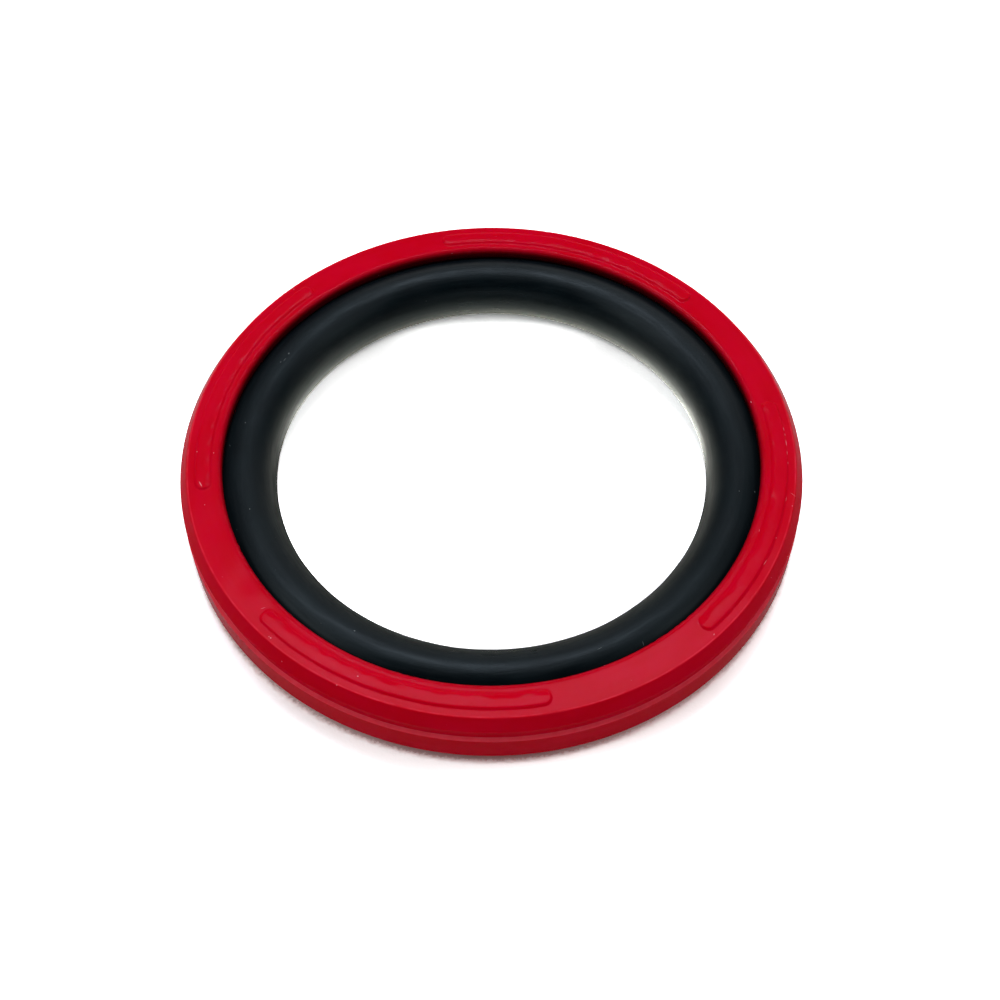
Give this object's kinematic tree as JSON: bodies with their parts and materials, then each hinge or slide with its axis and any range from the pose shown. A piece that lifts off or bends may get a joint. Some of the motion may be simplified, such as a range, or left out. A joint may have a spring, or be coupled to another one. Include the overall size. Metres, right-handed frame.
{
  "type": "piston seal",
  "caption": "Double-acting piston seal: a moulded polyurethane sealing ring with a grooved outer face, pressed out by a rubber ring seated inside it.",
  "frame": {"origin": "centre of the seal's axis on its lower end face", "axes": "+Z along the seal's axis, up towards the end face that carries the raised pads; +X through the middle of one pad"},
  "size_m": [0.0712, 0.0712, 0.0084],
  "materials": {
    "sealing_ring": "smooth moulded polyurethane, slightly translucent red, soft sheen",
    "energising_ring": "black nitrile rubber, satin"
  },
  "bodies": {
    "root": {"sealing_ring": "sealing_ring", "energising_ring": "energising_ring"}
  },
  "joints": []
}
